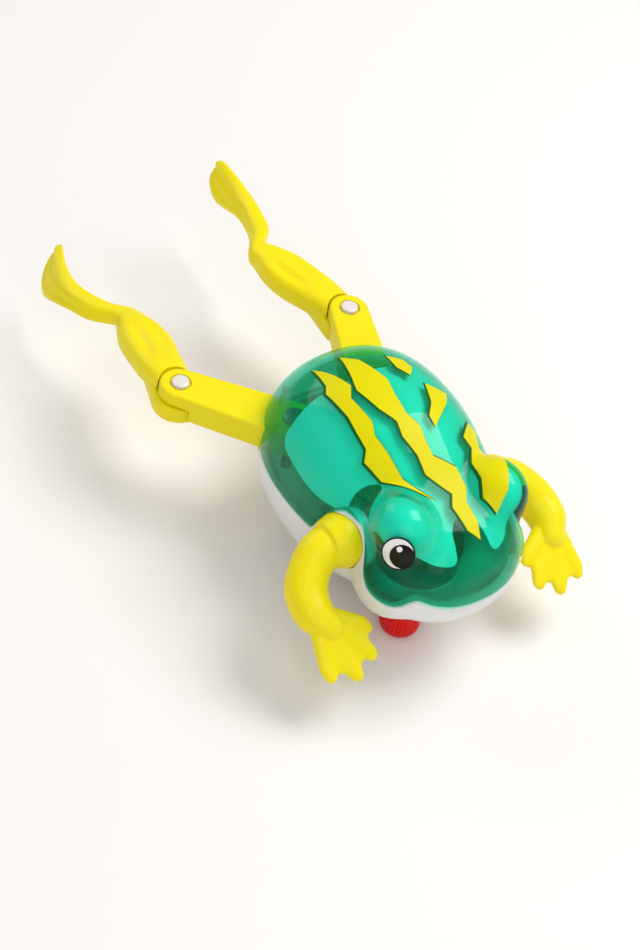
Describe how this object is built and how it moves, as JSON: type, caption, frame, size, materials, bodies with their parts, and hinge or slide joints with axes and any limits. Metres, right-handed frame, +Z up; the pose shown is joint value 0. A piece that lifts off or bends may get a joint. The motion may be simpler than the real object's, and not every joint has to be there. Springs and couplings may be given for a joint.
{
  "type": "wind-up swimming frog toy",
  "caption": "Hand-sized plastic wind-up frog: a green dome on a white belly pan, curved arms in side collars, and swinging flipper legs driven by a crank, wound by a knob underneath",
  "frame": {"origin": "under the middle of the whole frog's box at its lowest point, the flat end of the winding knob", "axes": "+Y from the nose to the feet, +X to the frog's left side, +Z up; the parting plane of the shells is 22 mm up"},
  "size_m": [0.0624, 0.1244, 0.0443],
  "materials": {
    "green_shell": "translucent moulded, glossy",
    "white_plastic": "moulded, glossy",
    "yellow_plastic": "moulded, slightly soft gloss",
    "red_plastic": "moulded, ribbed grip",
    "nylon": "natural moulded nylon",
    "black_rubber": "smooth, greased",
    "steel": "drawn and turned, bright",
    "brass": "stamped"
  },
  "bodies": {
    "body": {"top_shell": "green_shell", "bottom_shell": "white_plastic", "hip_pin_right": "steel", "hip_pin_left": "steel", "shaft_seal": "black_rubber", "mainspring": "steel", "spring_cup": "steel", "motor_tray": "white_plastic", "motor_cover": "white_plastic", "second_axle": "steel", "crank_axle": "steel", "escape_axle": "steel", "pallet_axle": "steel", "motor_screw_1": "steel", "motor_screw_2": "steel"},
    "winder": {"winding_knob": "red_plastic", "winding_arbor": "steel", "ratchet_wheel": "brass"},
    "main_gear": {"main_gear": "nylon", "click_pawl": "steel"},
    "second_wheel": {"second_wheel": "nylon"},
    "crank_wheel": {"crank_wheel": "nylon"},
    "escape_wheel": {"escape_wheel": "nylon"},
    "pallet": {"escape_pallet": "nylon"},
    "leg_right": {"thigh_right": "yellow_plastic", "knee_pin_right": "white_plastic"},
    "leg_left": {"thigh_left": "yellow_plastic", "knee_pin_left": "white_plastic"},
    "shin_right": {"shin_right": "yellow_plastic"},
    "shin_left": {"shin_left": "yellow_plastic"},
    "arm_right": {"arm_right": "yellow_plastic"},
    "arm_left": {"arm_left": "yellow_plastic"}
  },
  "joints": [
    {"name": "main_gear_turn", "type": "hinge", "parent": "body", "child": "main_gear", "pos_m": [-0.0035, -0.04672, 0.018], "axis": [0, 0, 1], "continuous": true},
    {"name": "winding_turn", "type": "hinge", "parent": "body", "child": "winder", "pos_m": [-0.0035, -0.04672, 0.004], "axis": [0, 0, 1], "continuous": true},
    {"name": "second_wheel_turn", "type": "hinge", "parent": "body", "child": "second_wheel", "pos_m": [-0.00419, -0.03725, 0.019], "axis": [0, 0, 1], "continuous": true},
    {"name": "crank_turn", "type": "hinge", "parent": "body", "child": "crank_wheel", "pos_m": [0, -0.02872, 0.02], "axis": [0, 0, 1], "continuous": true},
    {"name": "escape_turn", "type": "hinge", "parent": "body", "child": "escape_wheel", "pos_m": [0.00426, -0.03417, 0.018], "axis": [0, 0, 1], "continuous": true},
    {"name": "pallet_rock", "type": "hinge", "parent": "body", "child": "pallet", "pos_m": [0.00934, -0.03602, 0.017], "axis": [0, 0, 1], "range_deg": [-2.5, 2.5]},
    {"name": "hip_right_swing", "type": "hinge", "parent": "body", "child": "leg_right", "pos_m": [-0.0095, -0.01122, 0.024], "axis": [0, 0, 1], "range_deg": [-21.7, 1.5]},
    {"name": "hip_left_swing", "type": "hinge", "parent": "body", "child": "leg_left", "pos_m": [0.0095, -0.01122, 0.024], "axis": [0, 0, 1], "range_deg": [-21.7, 1.5]},
    {"name": "knee_right_bend", "type": "hinge", "parent": "leg_right", "child": "shin_right", "pos_m": [-0.02479, 0.00662, 0.024], "axis": [0, 0, 1], "range_deg": [-12, 40]},
    {"name": "knee_left_bend", "type": "hinge", "parent": "leg_left", "child": "shin_left", "pos_m": [0.01769, 0.0108, 0.024], "axis": [0, 0, 1], "range_deg": [-30, 25]},
    {"name": "shoulder_right_turn", "type": "hinge", "parent": "body", "child": "arm_right", "pos_m": [-0.0165, -0.03972, 0.025], "axis": [1, 0, 0], "range_deg": [-60, 80]},
    {"name": "shoulder_left_turn", "type": "hinge", "parent": "body", "child": "arm_left", "pos_m": [0.0165, -0.03972, 0.025], "axis": [1, 0, 0], "range_deg": [-60, 80]}
  ],
  "couplings": [
    {"joint": "winding_turn", "follows": "main_gear_turn", "ratio": 1},
    {"joint": "second_wheel_turn", "follows": "main_gear_turn", "ratio": -2.8},
    {"joint": "crank_turn", "follows": "main_gear_turn", "ratio": 7.84},
    {"joint": "escape_turn", "follows": "main_gear_turn", "ratio": 9.8},
    {"joint": "hip_left_swing", "follows": "hip_right_swing", "ratio": 1}
  ]
}
